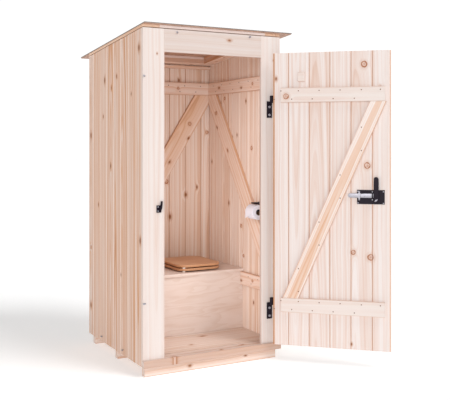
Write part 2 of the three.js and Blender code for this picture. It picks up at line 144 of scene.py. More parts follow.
class Finish:
    """One material and its nodes."""

    def __init__(self, name, roughness=0.6, metallic=0.0, specular=0.35):
        self.material = bpy.data.materials.new(name)
        self.material.use_nodes = True
        self.tree = self.material.node_tree
        self.shader = self.tree.nodes["Principled BSDF"]
        self.shader.inputs["Roughness"].default_value = roughness
        self.shader.inputs["Metallic"].default_value = metallic
        self.shader.inputs["Specular IOR Level"].default_value = specular

    def node(self, kind, settings=None, sockets=()):
        """Adds a node: its settings first, then its sockets by name or in order."""
        node = self.tree.nodes.new(kind)
        for name, setting in (settings or {}).items():
            setattr(node, name, setting)
        named = sockets.items() if isinstance(sockets, dict) else enumerate(sockets)
        for key, fed in named:
            self.feed(node.inputs[key], fed)
        return node

    def feed(self, socket, fed):
        if isinstance(fed, Value):
            fed = fed.socket
        if isinstance(fed, bpy.types.NodeSocket):
            self.tree.links.new(fed, socket)
        else:
            socket.default_value = fed

    def value(self, kind, settings=None, sockets=(), output=0):
        return Value(self, self.node(kind, settings, sockets).outputs[output])

    def split(self, vector):
        """The three numbers of a vector."""
        return [Value(self, s) for s in self.node("ShaderNodeSeparateXYZ", None, [vector]).outputs]

    def mix(self, factor, first, second):
        """Blends two colours."""
        sockets = {0: factor, 6: first, 7: second}
        return self.node("ShaderNodeMix", {"data_type": "RGBA"}, sockets).outputs[2]

    def step(self, value, low, high):
        """0 at low and 1 at high, smooth between; low may be the larger."""
        settings = {"interpolation_type": "SMOOTHSTEP"}
        return self.value("ShaderNodeMapRange", settings, {0: value, 1: low, 2: high})

    def scaled(self, vector, scale):
        settings = {"operation": "MULTIPLY"}
        return self.node("ShaderNodeVectorMath", settings, [vector, scale]).outputs[0]

    def noise(self, vector, scale=1.0, detail=2.0, roughness=0.5):
        sockets = {"Vector": vector, "Scale": scale, "Detail": detail, "Roughness": roughness}
        return self.value("ShaderNodeTexNoise", None, sockets)

    def attribute(self, name, output="Vector"):
        return self.node("ShaderNodeAttribute", {"attribute_name": name}).outputs[output]

    def place(self):
        """A point's place on the object, in metres."""
        return self.node("ShaderNodeTexCoord").outputs["Object"]

    def nearest(self, point, marks, stretch):
        """How far a point lies from the nearest of marks, (across, along, radius), in its radii."""
        least = None
        for across, along, radius in marks:
            settings = {"operation": "SUBTRACT"}
            offset = self.node("ShaderNodeVectorMath", settings, [point, (across, along, 0)])
            shaped = self.scaled(offset.outputs[0], (1 / radius, 1 / (stretch * radius), 0))
            length = self.node("ShaderNodeVectorMath", {"operation": "LENGTH"}, [shaped])
            reach = Value(self, length.outputs["Value"])
            least = reach if least is None else least.math("MINIMUM", reach)
        return least

    def done(self, tone=None, roughness=None, height=None, depth=0.0005):
        if tone is not None:
            self.feed(self.shader.inputs["Base Color"], tone)
        if roughness is not None:
            self.feed(self.shader.inputs["Roughness"], roughness)
        if height is not None:
            bump = self.node("ShaderNodeBump", None, {"Height": height, "Distance": depth})
            self.feed(self.shader.inputs["Normal"], bump.outputs[0])
        return self.material


studio = bmesh.new()
bmesh.ops.create_grid(studio, x_segments=1, y_segments=1, size=60)
bmesh.ops.translate(studio, vec=(0, 0, -0.001), verts=studio.verts)
studio_mesh = bpy.data.meshes.new("studio_floor")
studio.to_mesh(studio_mesh)
studio.free()
studio_floor = bpy.data.objects.new("studio_floor", studio_mesh)
bpy.context.scene.collection.objects.link(studio_floor)
matt = Finish("studio_white", roughness=1.0, specular=0.0)
matt.shader.inputs["Emission Color"].default_value = (1, 1, 1, 1)
matt.shader.inputs["Emission Strength"].default_value = 0.36
mottle = matt.noise(matt.place(), 0.5)
studio_mesh.materials.append(matt.done(matt.mix(mottle, (0.9, 0.9, 0.9, 1), (0.92, 0.92, 0.92, 1))))

# ---- Skids ----
# Three sawn spruce bearers that carry the cabin clear of the ground.
# Each is one squared length with sawn ends, nailed up into the floor's side bearers.
RING = 0.0062
# Tone sets for one spruce that are lit and shaded copies, painted light and shade: the first is painted for
# the shade the skids and bearers stand in, the second darker and warmer for the weaker light on the left
# side, the third for the full light on the front.
SHADE_TONES = ("EAD8CE", "DDBBA6", "B57D56")
SIDE_LIGHT_TONES = ("E6CDBF", "DBA987", "B5713F")
FRONT_LIGHT_TONES = ("E6DBD6", "DDC6BA", "C69274")


def timber(name, tones, eyes=(), specks=(), rim=0.5, figure=1.0, joint=None):
    """Planed spruce with its own grain in each board. eyes are round knots and specks small dark
    ones, (across, along, radius) in metres on the face that the boards share. rim says how far a
    board's planed edges go to the given joint tone, or to the deepest tone without one. A dark
    joint tone is the joints' own colour; a pale one is a painted highlight on the chamfers."""
    wood = Finish(name)
    pale, warm, deep = (colour(tone) for tone in tones)
    grain = wood.attribute("grain")
    place = wood.attribute("place")
    seed = Value(wood, wood.attribute("seed", "Fac"))
    half = Value(wood, wood.attribute("half", "Fac"))
    across, _, thick = wood.split(grain)
    along = wood.split(place)[1]
    other_seed = (seed * 7.7).math("FRACT")

    # The heart of the log lies a little behind each board and not quite along it, so its rings
    # come out on the face as long nested arches in the middle and as lines near the edges.
    drift = wood.noise(wood.scaled(grain, (4, 0.9, 4)), 1.0, 2.0) - 0.5
    heart_x = across + (seed - 0.5) * 0.11 + drift * 0.035
    heart_z = thick + 0.010 + other_seed * 0.03 + (along - 1.0) * (other_seed - 0.45) * 0.07
    ring = (heart_x * heart_x + heart_z * heart_z).math("SQRT") / RING
    waver = wood.noise(wood.scaled(place, (55, 40, 0)), 1.0, 2.0) - 0.5
    eye = wood.nearest(place, eyes, 1.05) if eyes else None
    speck = wood.nearest(place, specks, 1.7) if specks else None
    for knot in (eye, speck):
        if knot is not None:
            ring = ring + (knot * -0.8).math("EXPONENT") * 4.0
    ring = ring + wood.noise(wood.scaled(grain, (30, 2.5, 30)), 1.0, 2.0) * 0.8
    years = wood.value("ShaderNodeTexNoise", {"noise_dimensions": "1D"},
                       {"W": ring * 0.42 + seed * 60.0, "Scale": 1.0, "Detail": 1.0})
    phase = ring.math("FRACT")
    late = wood.step(phase, 0.2, 0.85) * wood.step(phase, 1.0, 0.87)
    fibre = wood.noise(wood.scaled(grain, (380, 8, 380)), 1.0, 3.0, 0.6)
    streak = wood.noise(wood.scaled(grain, (30, 0.6, 30)), 1.0, 2.0, 0.6)
    patch = wood.noise(wood.scaled(grain, (5, 1.1, 5)), 1.0, 1.0)
    figured = (years - 0.5) * 1.9 + late * 0.3 + (streak - 0.5) * 1.0
    warmth = 0.34 + figured * figure + (patch - 0.5) * 0.4
    warmth = warmth + (fibre - 0.5) * 0.25 + (other_seed - 0.5) * 0.3
    tone = wood.mix(wood.step(warmth, 0.0, 1.0), pale, warm)
    tone = wood.mix(wood.step(warmth, 0.75, 1.5) * 0.6, tone, deep)

    # Planed edges go to the joint tone: a dark one is the joints' own colour, a pale one a painted highlight
    # on the chamfers.
    edge_near = wood.step(half - across.math("ABSOLUTE"), 0.0046, 0.0020)
    tone = wood.mix(edge_near * rim, tone, colour(joint) if joint else deep)
    if eye is not None:
        edge = eye + waver * 0.45
        side = wood.step(wood.noise(wood.scaled(place, (34, 34, 0)), 1.0, 1.0), 0.38, 0.62)
        tone = wood.mix(wood.step(edge, 2.2, 0.9) * 0.3, tone, deep)
        heart = wood.mix((edge * 9.0 + waver * 6.0).math("SINE") * 0.35 + 0.4, warm, colour("C08A6C"))
        tone = wood.mix(wood.step(edge, 1.06, 0.94), tone, heart)
        bark = wood.step(edge, 1.1, 0.96) * wood.step(edge, 0.62 - side * 0.3, 0.85)
        tone = wood.mix(bark * (0.55 + side * 0.4), tone, colour("A8653B"))
    if speck is not None:
        edge = speck + waver * 0.5
        tone = wood.mix(wood.step(edge, 2.6, 0.8) * 0.5, tone, deep)
        tone = wood.mix(wood.step(edge, 1.25, 0.5) * 0.8, tone, colour("9A6138"))
        tone = wood.mix(wood.step(edge, 0.7, 0.3) * 0.45, tone, colour("6E4226"))
    return wood.done(tone, 0.52 + fibre * 0.2, fibre * 0.6 - late * 0.4, 0.0003)


def layer_of(layers, name):
    """The layer of that name, made where there is none yet."""
    return layers.get(name) or layers.new(name)


def draw_out(bm, faces, step):
    """Draws faces of bm out by step, as a bar or a thick board."""
    made = bmesh.ops.extrude_face_region(bm, geom=faces)
    moved = [v for v in made["geom"] if isinstance(v, bmesh.types.BMVert)]
    bmesh.ops.translate(bm, vec=step, verts=moved)


def ease_edges(bm, edges, offset, segments=2):
    """Rounds off edges of bm."""
    bmesh.ops.bevel(bm, geom=edges, offset=offset, offset_type="OFFSET", affect="EDGES",
                    segments=segments, profile=0.5, material=-1, clamp_overlap=True)


def lay_board(bm, size, lie, seed, cuts=(), edge=0.0015, along_from=0.0, across_from=0.0, profile=None):
    """Adds one planed board to bm. size is (across, along, thick) and lie turns and moves it from
    its own axes, with its lowest corner at the origin, to its place. cuts are (point, normal) in
    place: what lies beyond is sawn off. across_from and along_from place its knots."""
    layers = bm.verts.layers
    done = layer_of(layers.int, "done")
    grain = layer_of(layers.float_vector, "grain")
    place = layer_of(layers.float_vector, "place")
    seeds = layer_of(layers.float, "seed")
    halves = layer_of(layers.float, "half")

    def fresh(things):
        return [t for t in things if not (t if isinstance(t, bmesh.types.BMVert) else t.verts[0])[done]]

    across, along, thick = size
    if profile is None:
        bmesh.ops.create_cube(bm, size=1)
        bmesh.ops.scale(bm, vec=size, verts=fresh(bm.verts))
        bmesh.ops.translate(bm, vec=Vector(size) / 2, verts=fresh(bm.verts))
    else:
        corners = [bm.verts.new((x, 0, z)) for x, z in profile]
        draw_out(bm, [bm.faces.new(corners)], (0, along, 0))
        bmesh.ops.recalc_face_normals(bm, faces=fresh(bm.faces))
    back = lie.inverted()
    for point, normal in cuts:
        geometry = fresh(bm.verts) + fresh(bm.edges) + fresh(bm.faces)
        bmesh.ops.bisect_plane(
            bm, geom=geometry, dist=1e-6, plane_co=back @ Vector(point),
            plane_no=back.to_3x3() @ Vector(normal), clear_outer=True)
        rim = [e for e in fresh(bm.edges) if e.is_boundary]
        if rim:
            bmesh.ops.edgeloop_fill(bm, edges=rim)
    if edge and profile is None:
        ease_edges(bm, fresh(bm.edges), edge)
    new = fresh(bm.verts)
    shift = seed * 7.7 % 1 * 11
    for v in new:
        v[grain] = Vector((v.co.x - across / 2, v.co.y + shift, v.co.z))
        v[place] = Vector((v.co.x + across_from, v.co.y + along_from, 0))
        v[seeds] = seed
        v[halves] = across / 2
        v[done] = 1
    bmesh.ops.transform(bm, matrix=lie, verts=new)


def lie_along(origin, across, along):
    """A place for a board: its own across and along directions, with its thickness by the right hand."""
    x = Vector(across).normalized()
    y = Vector(along).normalized()
    turn = Matrix((x, y, x.cross(y))).transposed().to_4x4()
    return Matrix.Translation(Vector(origin)) @ turn


def finish_piece(bm, name, material, body, nodes=(), rounded=False):
    """Makes a mesh object of bm and hands it to the frame. A rounded piece has soft shading on all
    but its large flats."""
    layer = bm.verts.layers.int.get("done")
    if layer is not None:
        bm.verts.layers.int.remove(layer)
    if rounded:
        largest = max(face.calc_area() for face in bm.faces)
        for face in bm.faces:
            face.smooth = face.calc_area() < largest * 0.5
    mesh = bpy.data.meshes.new(name)
    bm.to_mesh(mesh)
    bm.free()
    if rounded:
        mesh.set_sharp_from_angle(angle=math.radians(40))
    mesh.materials.append(material)
    piece = bpy.data.objects.new(name, mesh)
    bpy.context.scene.collection.objects.link(piece)
    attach(piece, body)
    if nodes:
        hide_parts(*nodes)


draw = random.Random(7)
# The skids take the tones painted for shade.
skid_wood = timber("skid_timber", SHADE_TONES, specks=[(0.03, 0.31, 0.008), (0.04, 0.72, 0.006)])
for node in ("skid_front", "skid_middle", "skid_back"):
    low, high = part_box(node)
    skid = bmesh.new()
    size = (high.z - low.z, high.x - low.x, high.y - low.y)
    lay_board(skid, size, lie_along(low, (0, 0, 1), (1, 0, 0)), draw.random(), edge=0.002)
    finish_piece(skid, node + "_timber", skid_wood, "cabin", [node])


# ---- Floor bearers and floor ----
# Two flat boards on the skids carry the floor, whose planed boards run from side to side.
# The floor boards butt against each other and are nailed through into the bearers.
UP = (0, 0, 1)
RIGHT = (1, 0, 0)
LEFT = (-1, 0, 0)
BACK = (0, 1, 0)
FRONT = (0, -1, 0)


def tongued(cover, thick, gap=0.0014, chamfer=0.0028, tongue=0.006):
    """The section of a tongued and grooved board: face edges chamfered, tongue on the far side."""
    width = cover - gap
    middle = thick / 2
    half_tongue = 0.0028
    half_groove = 0.0032
    return [
        (chamfer, 0), (width - chamfer, 0), (width, chamfer),
        (width, middle - half_tongue), (width + tongue, middle - half_tongue),
        (width + tongue, middle + half_tongue), (width, middle + half_tongue),
        (width, thick - chamfer), (width - chamfer, thick), (chamfer, thick), (0, thick - chamfer),
        (0, middle + half_groove), (tongue, middle + half_groove),
        (tongue, middle - half_groove), (0, middle - half_groove), (0, chamfer),
    ]


def covers_of(first, cover, whole):
    """Board widths across a wall: a cut first board, full ones, and what is left."""
    widths = [first]
    while whole - sum(widths) > cover:
        widths.append(cover)
    widths.append(whole - sum(widths))
    return widths


def lay_row(bm, length, covers, lie_of, thick, tongue=True, cuts=()):
    """Lays boards side by side. covers are their widths, and lie_of gives the place of a board
    that starts at that distance across."""
    start = 0.0
    for cover in covers:
        profile = tongued(cover, thick) if tongue else None
        size = (cover if tongue else cover - 0.0008, length, thick)
        lay_board(bm, size, lie_of(start), draw.random(), cuts, 0.0006, across_from=start, profile=profile)
        start += cover


def board_in(node, across, along, cuts=()):
    """A bmesh of one board that fills its node's box. across and along are unit steps."""
    low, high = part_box(node)
    x, y = Vector(across), Vector(along)
    z = x.cross(y)
    size = tuple(abs((high - low).dot(axis)) for axis in (x, y, z))
    origin = Vector([low[i] if (x + y + z)[i] > 0 else high[i] for i in range(3)])
    bm = bmesh.new()
    lay_board(bm, size, lie_along(origin, x, y), draw.random(), cuts)
    return bm


def fit_board(node, across, along, wood, cuts=()):
    """Makes the cabin's board of that node."""
    finish_piece(board_in(node, across, along, cuts), node + "_board", wood, "cabin", [node])


# The bearers take the tones painted for shade.
inside_wood = timber("inside_timber", SHADE_TONES, specks=[(0.05, 0.35, 0.007), (0.03, 0.71, 0.006)])
for node in ("floor_bearer_left", "floor_bearer_right"):
    fit_board(node, RIGHT, BACK, inside_wood)
low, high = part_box("floor")
floor_boards = bmesh.new()
FLOOR_COVER = 0.15
FLOOR_SPECKS = [(0.29, 0.38, 0.012), (0.22, 0.74, 0.009), (0.12, 0.55, 0.008), (0.40, 0.20, 0.008)]
floor_wood = timber("floor_timber", ("DCCCC3", "D0B4A2", "AB7953"), specks=FLOOR_SPECKS,
                    rim=0.15, figure=0.7)
lay_row(floor_boards, high.x - low.x, covers_of(FLOOR_COVER, FLOOR_COVER, high.y - low.y),
        lambda start: lie_along((high.x, low.y + start, low.z), BACK, LEFT), high.z - low.z, tongue=False)
finish_piece(floor_boards, "floor_boards", floor_wood, "cabin", ["floor"])

# ---- Sill ----
# A planed board across the threshold. Its nose stands in front of the stiles' feet, and behind
# them it is cut to fit between the side walls.
low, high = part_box("sill")
wall_low, wall_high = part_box("left_wall")
sill_wood = timber("sill_timber", ("E2D2CA", "D6BAAA", "B98563"), eyes=[(0.006, 0.79, 0.016)],
                   specks=[(0.06, 0.27, 0.009), (0.02, 0.45, 0.006)])
sill = bmesh.new()
FIT = 0.0003
SILL_SEED = 0.31
nose_back = wall_low.y - FIT
size = (nose_back - low.y, high.x - low.x, high.z - low.z)
lay_board(sill, size, lie_along((high.x, low.y, low.z), BACK, LEFT), SILL_SEED, edge=0.002)
inner = wall_high.x + FIT
size = (high.y - nose_back + 0.001, -2 * inner, high.z - low.z)
lie = lie_along((-inner, nose_back - 0.001, low.z), BACK, LEFT)
lay_board(sill, size, lie, SILL_SEED, edge=0.002, across_from=nose_back - low.y,
          along_from=high.x + inner)
finish_piece(sill, "sill_board", sill_wood, "cabin", ["sill"])

# ---- Side and back walls ----
# Tongued spruce boards stand on end round the cabin, with chamfered joints on both faces.
# They are nailed to the ledges inside, and their tops are sawn to the fall of the roof.
back_low, back_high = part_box("back_wall")
roof_fall = (back_high.z - wall_high.z) / (back_low.y - wall_low.y)
roof_up = (0, -roof_fall, 1)
wall_top = (0, wall_low.y, wall_high.z)
wall_height = wall_high.z - wall_low.z + 0.002
SIDE_FIRST, SIDE_COVER = 0.0897, 0.134
BACK_FIRST, BACK_COVER = 0.070, 0.136
WALL_KNOTS = {
    "left": ([(0.95, 0.63, 0.013)],
             [(0.66, 1.82, 0.013), (0.95, 1.44, 0.014), (0.545, 1.23, 0.010), (0.04, 1.98, 0.013),
              (0.43, 1.83, 0.008), (0.53, 1.76, 0.007), (0.02, 0.78, 0.012), (0.95, 0.21, 0.012),
              (0.69, 1.57, 0.007), (0.17, 1.70, 0.006), (0.35, 0.52, 0.006), (0.79, 0.95, 0.007)]),
    "right": ([(0.72, 1.725, 0.012), (0.32, 1.35, 0.013), (0.47, 0.78, 0.013), (0.435, 0.565, 0.011)],
              [(0.78, 1.685, 0.008), (0.60, 1.78, 0.009), (0.56, 1.83, 0.009), (0.40, 1.69, 0.008),
               (0.53, 1.445, 0.007), (0.60, 1.43, 0.006), (0.42, 1.15, 0.008), (0.655, 0.935, 0.009),
               (0.29, 0.25, 0.008), (0.93, 1.24, 0.008)]),
    "back": ([(0.94, 1.47, 0.013), (0.59, 1.09, 0.016), (0.28, 0.72, 0.013)],
             [(0.755, 0.985, 0.010), (0.85, 1.04, 0.008), (0.62, 0.82, 0.012), (0.695, 1.87, 0.009),
              (0.33, 1.38, 0.009), (0.16, 1.75, 0.008), (0.12, 0.55, 0.010), (0.47, 0.35, 0.008)]),
}
# The room side's tones are painted brighter and warmer for the weaker light inside the room. Each wall takes
# the tones painted for the light on its face.
ROOM_LIGHT_TONES = ("F0E1D8", "E1C1AA", "B97F56")
WALL_TONES = {"left": SIDE_LIGHT_TONES, "right": ROOM_LIGHT_TONES, "back": ROOM_LIGHT_TONES}
WALL_RIM = {"left": 0.75, "right": 0.6, "back": 0.6}
# The pale joint tones of the left and right walls are painted highlights on the chamfers; the back wall's is
# its joints' own dark colour.
WALL_JOINT_AND_HIGHLIGHT = {"left": "F8EBE3", "right": "F6E8DF", "back": "C78D63"}
for side in ("left", "right"):
    low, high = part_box(side + "_wall")
    wall = bmesh.new()
    lay_row(wall, wall_height, covers_of(SIDE_FIRST, SIDE_COVER, high.y - low.y),
            lambda start: lie_along((low.x, low.y + start, low.z), BACK, UP),
            high.x - low.x, cuts=[(wall_top, roof_up)])
    wall_wood = timber(side + "_wall_timber", WALL_TONES[side], *WALL_KNOTS[side], rim=WALL_RIM[side],
                       joint=WALL_JOINT_AND_HIGHLIGHT[side])
    finish_piece(wall, side + "_wall_boards", wall_wood, "cabin", [side + "_wall"])
wall = bmesh.new()
lay_row(wall, wall_height, covers_of(BACK_FIRST, BACK_COVER, back_high.x - back_low.x),
        lambda start: lie_along((back_low.x + start, back_high.y, back_low.z), RIGHT, UP),
        back_high.y - back_low.y, cuts=[(wall_top, roof_up)])
wall_wood = timber("back_wall_timber", WALL_TONES["back"], *WALL_KNOTS["back"], rim=WALL_RIM["back"],
                   joint=WALL_JOINT_AND_HIGHLIGHT["back"])
finish_piece(wall, "back_wall_boards", wall_wood, "cabin", ["back_wall"])

# ---- Door frame ----
# Two wide planed stiles stand on the sill, with a lintel between their heads. They are screwed
# to the front edges of the side walls and to the roof frame.
# The stiles take the tones painted for the full light on the front.
stile_wood = timber("stile_timber", FRONT_LIGHT_TONES, specks=[(0.05, 1.90, 0.004)], rim=0.1, figure=0.5)
for node in ("stile_left", "stile_right"):
    fit_board(node, LEFT, UP, stile_wood, [(wall_top, roof_up)])
# The lintel's tones are darker than the stiles': painted shade under the roof's front edge.
lintel_shade_wood = timber("lintel_shade_timber", ("DBCEC8", "D2BAAD", "BB8A6A"),
                     specks=[(0.10, 0.465, 0.008)], rim=0.2, figure=0.6)
fit_board("lintel", UP, RIGHT, lintel_shade_wood, [(wall_top, roof_up)])

# ---- Ledges and braces ----
# Each wall is held flat by ledges, with a wide sloping brace that stops it racking.
# All are planed spruce, butted together and nailed through into every board of the wall.
ledge_wood = timber("ledge_timber", ("EDD8CC", "E2BDA4", "BC8359"), eyes=[(0.05, 0.68, 0.010)],
                    specks=[(0.05, 0.18, 0.008), (0.03, 0.52, 0.007)])
for node in ("ledge_left_upper", "ledge_left_lower", "ledge_right_upper", "ledge_right_lower"):
    fit_board(node, UP, FRONT, ledge_wood)
for node in ("ledge_back_upper", "rail_back"):
    fit_board(node, UP, RIGHT, ledge_wood)


def lay_brace(edge_point, along, facing, side, box, width):
    """A bmesh of a sloping board in the box. Its edge runs through edge_point, and it lies on that
    side of the edge. It is sawn off where it meets the box."""
    low, high = box
    along = Vector(along).normalized()
    facing = Vector(facing)
    across = along.cross(facing).normalized()
    thick = abs((high - low).dot(facing))
    length = 2 * (high.z - low.z)
    origin = Vector(edge_point) - along * length * 0.75
    if side < 0:
        origin = origin - across * width
    reach = Vector(RIGHT) if abs(facing.x) < 0.5 else Vector(BACK)
    cuts = [(low, (0, 0, -1)), (high, UP), (low, -reach), (high, reach)]
    bm = bmesh.new()
    lay_board(bm, (width, length, thick), lie_along(origin, across, along), draw.random(), cuts)
    return bm


SIDE_BRACE_RISE, SIDE_BRACE_TOP_Y = 1.45, 0.527
BACK_BRACE_RISE, BACK_BRACE_TOP_X = 1.6, 0.344
BRACE_WIDTH = 0.14
brace_wood = timber("brace_timber", ("EFD9CC", "E3BD9F", "BE8152"), eyes=[(0.08, 1.71, 0.014)],
                    specks=[(0.13, 1.61, 0.008), (0.09, 1.37, 0.008), (0.03, 0.86, 0.007)])
for node in ("brace_left", "brace_right"):
    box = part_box(node)
    brace = lay_brace((box[0].x, SIDE_BRACE_TOP_Y, box[1].z), (0, 1, SIDE_BRACE_RISE), RIGHT, -1, box,
                      BRACE_WIDTH)
    finish_piece(brace, node + "_board", brace_wood, "cabin", [node])
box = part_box("brace_back")
brace = lay_brace((BACK_BRACE_TOP_X, box[1].y, box[1].z), (1, 0, BACK_BRACE_RISE), FRONT, 1, box,
                  BRACE_WIDTH)
finish_piece(brace, "brace_back_board", brace_wood, "cabin", ["brace_back"])


def add_heads(bm, points, facing, radius, height, segments=10):
    """Nail or screw heads on a face that looks along facing, with a little of each sunk into it."""
    turn = Vector(facing).to_track_quat("Z", "Y").to_matrix().to_4x4()
    for point in points:
        centre = Vector(point) + Vector(facing) * height * 0.3
        bmesh.ops.create_cone(bm, cap_ends=True, segments=segments, radius1=radius, radius2=radius * 0.7,
                              depth=height, matrix=Matrix.Translation(centre) @ turn)


nail_iron = Finish("nail_iron", roughness=0.55, metallic=0.5, specular=0.5)
nail_tone = nail_iron.mix(nail_iron.noise(nail_iron.place(), 400.0), colour("6B4A38"), colour("9A7460"))
nail_finish = nail_iron.done(nail_tone, 0.5)
NAIL = (0.0042, 0.0014)
NAIL_INSET = 0.025
NAIL_STAGGER = 0.02
wall_nails = bmesh.new()
for side, facing in (("left", 1), ("right", -1)):
    for level in ("upper", "lower"):
        low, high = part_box("ledge_" + side + "_" + level)
        face = high.x if facing > 0 else low.x
        y = wall_low.y + SIDE_FIRST / 2
        while y < high.y:
            rows = [(face, y - NAIL_STAGGER, low.z + NAIL_INSET),
                    (face, y + NAIL_STAGGER, high.z - NAIL_INSET)]
            add_heads(wall_nails, rows, (facing, 0, 0), *NAIL)
            y += SIDE_COVER
low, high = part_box("ledge_back_upper")
x = back_low.x + BACK_FIRST / 2
while x < back_high.x:
    rows = [(x - NAIL_STAGGER, low.y, low.z + NAIL_INSET), (x + NAIL_STAGGER, low.y, high.z - NAIL_INSET)]
    add_heads(wall_nails, rows, FRONT, *NAIL)
    x += BACK_COVER
finish_piece(wall_nails, "wall_nails", nail_finish, "cabin")

# ---- Roof ----
# A thin sheet on two layers of flat boards, laid to a slight fall towards the back: a frame
# between the walls and a rim over them, with sawn sides. Bitumen felt is turned down over the sheet.
ROOF_FRAME_THICK = 0.033
slope = math.hypot(1, roof_fall)
down_slope = Vector((0, 1, roof_fall)).normalized()
for side in ("front", "back", "left", "right"):
    node = "roof_frame_" + side
    low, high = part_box(node)
    top = high.z - ROOF_FRAME_THICK * slope
    wide, deep = high.x - low.x, (high.y - low.y) * slope
    member = bmesh.new()
    if side in ("left", "right"):
        size, lie = (wide, deep, ROOF_FRAME_THICK), lie_along((low.x, low.y, top), RIGHT, down_slope)
    else:
        size, lie = (deep, wide, ROOF_FRAME_THICK), lie_along((high.x, low.y, top), down_slope, LEFT)
    lay_board(member, size, lie, draw.random())
    finish_piece(member, node + "_board", ledge_wood, "cabin", [node])

RIM_THICK = 0.0174
RIM_WIDE = 0.115
sawn_wood = timber("sawn_timber", ("EBC9B0", "DBAC8B", "B97B4F"), rim=0.0)
rim_wood = timber("roof_rim_timber", ("EEDCD5", "E4C9BD", "C48F6E"), rim=0.0, figure=0.6)
rim_low, rim_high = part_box("roof_rim")
rim_top = rim_high.z - RIM_THICK * slope
rim_deep = (rim_high.y - rim_low.y) * slope
for side, x in (("left", rim_low.x), ("right", rim_high.x - RIM_WIDE)):
    member = bmesh.new()
    lay_board(member, (RIM_WIDE, rim_deep, RIM_THICK), lie_along((x, rim_low.y, rim_top), RIGHT, down_slope),
              draw.random())
    finish_piece(member, "roof_rim_" + side + "_board", sawn_wood, "cabin", ["roof_rim"])
for side, run in (("front", 0), ("back", rim_deep - RIM_WIDE)):
    corner = Vector((rim_high.x - RIM_WIDE, rim_low.y, rim_top)) + down_slope * run
    member = bmesh.new()
    size = (RIM_WIDE, rim_high.x - rim_low.x - 2 * RIM_WIDE, RIM_THICK)
    lay_board(member, size, lie_along(corner, down_slope, LEFT), draw.random())
    finish_piece(member, "roof_rim_" + side + "_board", rim_wood, "cabin", ["roof_rim"])


def plywood(name, tones, stretch):
    """Peeled sheet with a wide, wandering figure. stretch packs the pattern along each direction."""
    wood = Finish(name)
    pale, warm, deep = (colour(tone) for tone in tones)
    place = wood.place()
    swirl = wood.noise(wood.scaled(place, tuple(s * 0.9 for s in stretch)), 1.0, 3.0, 0.55)
    contour = (swirl * 17.0).math("FRACT")
    line = wood.step(contour, 0.3, 0.95) * wood.step(contour, 1.0, 0.95)
    fibre = wood.noise(wood.scaled(place, tuple(s * 30 for s in stretch)), 1.0, 3.0, 0.6)
    patch = wood.noise(wood.scaled(place, tuple(s * 1.6 for s in stretch)), 1.0, 2.0)
    tone = wood.mix(line * 0.4 + (fibre - 0.5) * 0.35 + (patch - 0.2) * 0.6, pale, warm)
    tone = wood.mix(wood.step(patch, 0.55, 0.75) * 0.3, tone, deep)
    return wood.done(tone, 0.52 + fibre * 0.2, fibre, 0.0002)


def crisp_copy(node, edge, segments=2):
    """A bmesh copy of a node, with its flats made whole and its edges eased."""
    bm = bmesh.new()
    bm.from_mesh(frame["nodes"][node].data)
    bmesh.ops.remove_doubles(bm, verts=bm.verts, dist=1e-5)
    bmesh.ops.dissolve_limit(bm, angle_limit=math.radians(1), verts=bm.verts, edges=bm.edges)
    sharp = [e for e in bm.edges if e.calc_face_angle(0) > math.radians(35)]
    ease_edges(bm, sharp, edge, segments)
    return bm


def keep_shape(node, edge, made_as, material, body="cabin", rounded=True):
    """Finishes a node in its own shape, with its edges eased."""
    finish_piece(crisp_copy(node, edge), node + "_" + made_as, material, body, [node], rounded)


# The sheet's dark tones are painted shade, for its underside beneath the overhang.
sheet_shade_finish = plywood("roof_sheet_shade_wood", ("C9A592", "A98069", "7A5644"), (6, 1.5, 6))
keep_shape("roof_sheet", 0.001, "board", sheet_shade_finish, rounded=False)
felt = Finish("mineral_felt", roughness=0.95, specular=0.2)
felt_place = felt.place()
grit = felt.noise(felt_place, 900.0, 2.0)
stain = felt.noise(felt_place, 2.2, 3.0)
felt_tone = felt.mix(grit, colour("5F5653"), colour("A89C97"))
felt_tone = felt.mix(stain * 0.5, felt_tone, colour("8A7F7A"))
keep_shape("roof_felt", 0.0012, "skin", felt.done(felt_tone, 0.95, grit, 0.0008))

# ---- Bench ----
# A box across the back: a sheet wood front standing on the floor and a top board with a hole.
# The top rests on the side walls' lower ledges.
bench_wood = plywood("bench_wood", ("E0CFC6", "D3BAAB", "BD9479"), (1, 4, 6))
for node in ("bench_top", "bench_front"):
    keep_shape(node, 0.0012, "board", bench_wood, rounded=False)

# ---- Seat ----
# A ring and a lid pressed from wood, with rounded corners and edges, on rubber buffers. Two
# blocks behind them hold the lid's pin.
SEAT_CORNER = 0.078
SEAT_THICK = 0.016
HOLE_HALF = (0.1075, 0.1325)
HOLE_FORWARD = 0.02


def rounded_outline(low, high, radius, steps=12):
    """Corner points of a rectangle with round corners, turning left from the lower right."""
    corners = [(high.x - radius, low.y + radius, -90), (high.x - radius, high.y - radius, 0),
               (low.x + radius, high.y - radius, 90), (low.x + radius, low.y + radius, 180)]
    points = []
    for x, y, start in corners:
        for step in range(steps + 1):
            angle = math.radians(start + 90 * step / steps)
            points.append((x + radius * math.cos(angle), y + radius * math.sin(angle)))
    return points


def pressed_board(outline, bottom, top, hole=None, edge=0.005):
    """A bmesh of a flat board with rounded edges, in the shape of outline, with an optional hole."""
    bm = bmesh.new()
    rims = []
    for points in [outline] + ([hole] if hole else []):
        verts = [bm.verts.new((x, y, bottom)) for x, y in points]
        rims += [bm.edges.new(pair) for pair in zip(verts, verts[1:] + verts[:1])]
    bmesh.ops.triangle_fill(bm, edges=rims, use_beauty=True, normal=(0, 0, 1))
    draw_out(bm, bm.faces, (0, 0, top - bottom))
    bmesh.ops.dissolve_limit(bm, angle_limit=math.radians(1), verts=bm.verts, edges=bm.edges)
    bmesh.ops.recalc_face_normals(bm, faces=bm.faces)
    sharp = [e for e in bm.edges if e.calc_face_angle(0) > math.radians(50)]
    ease_edges(bm, sharp, edge, 4)
    return bm


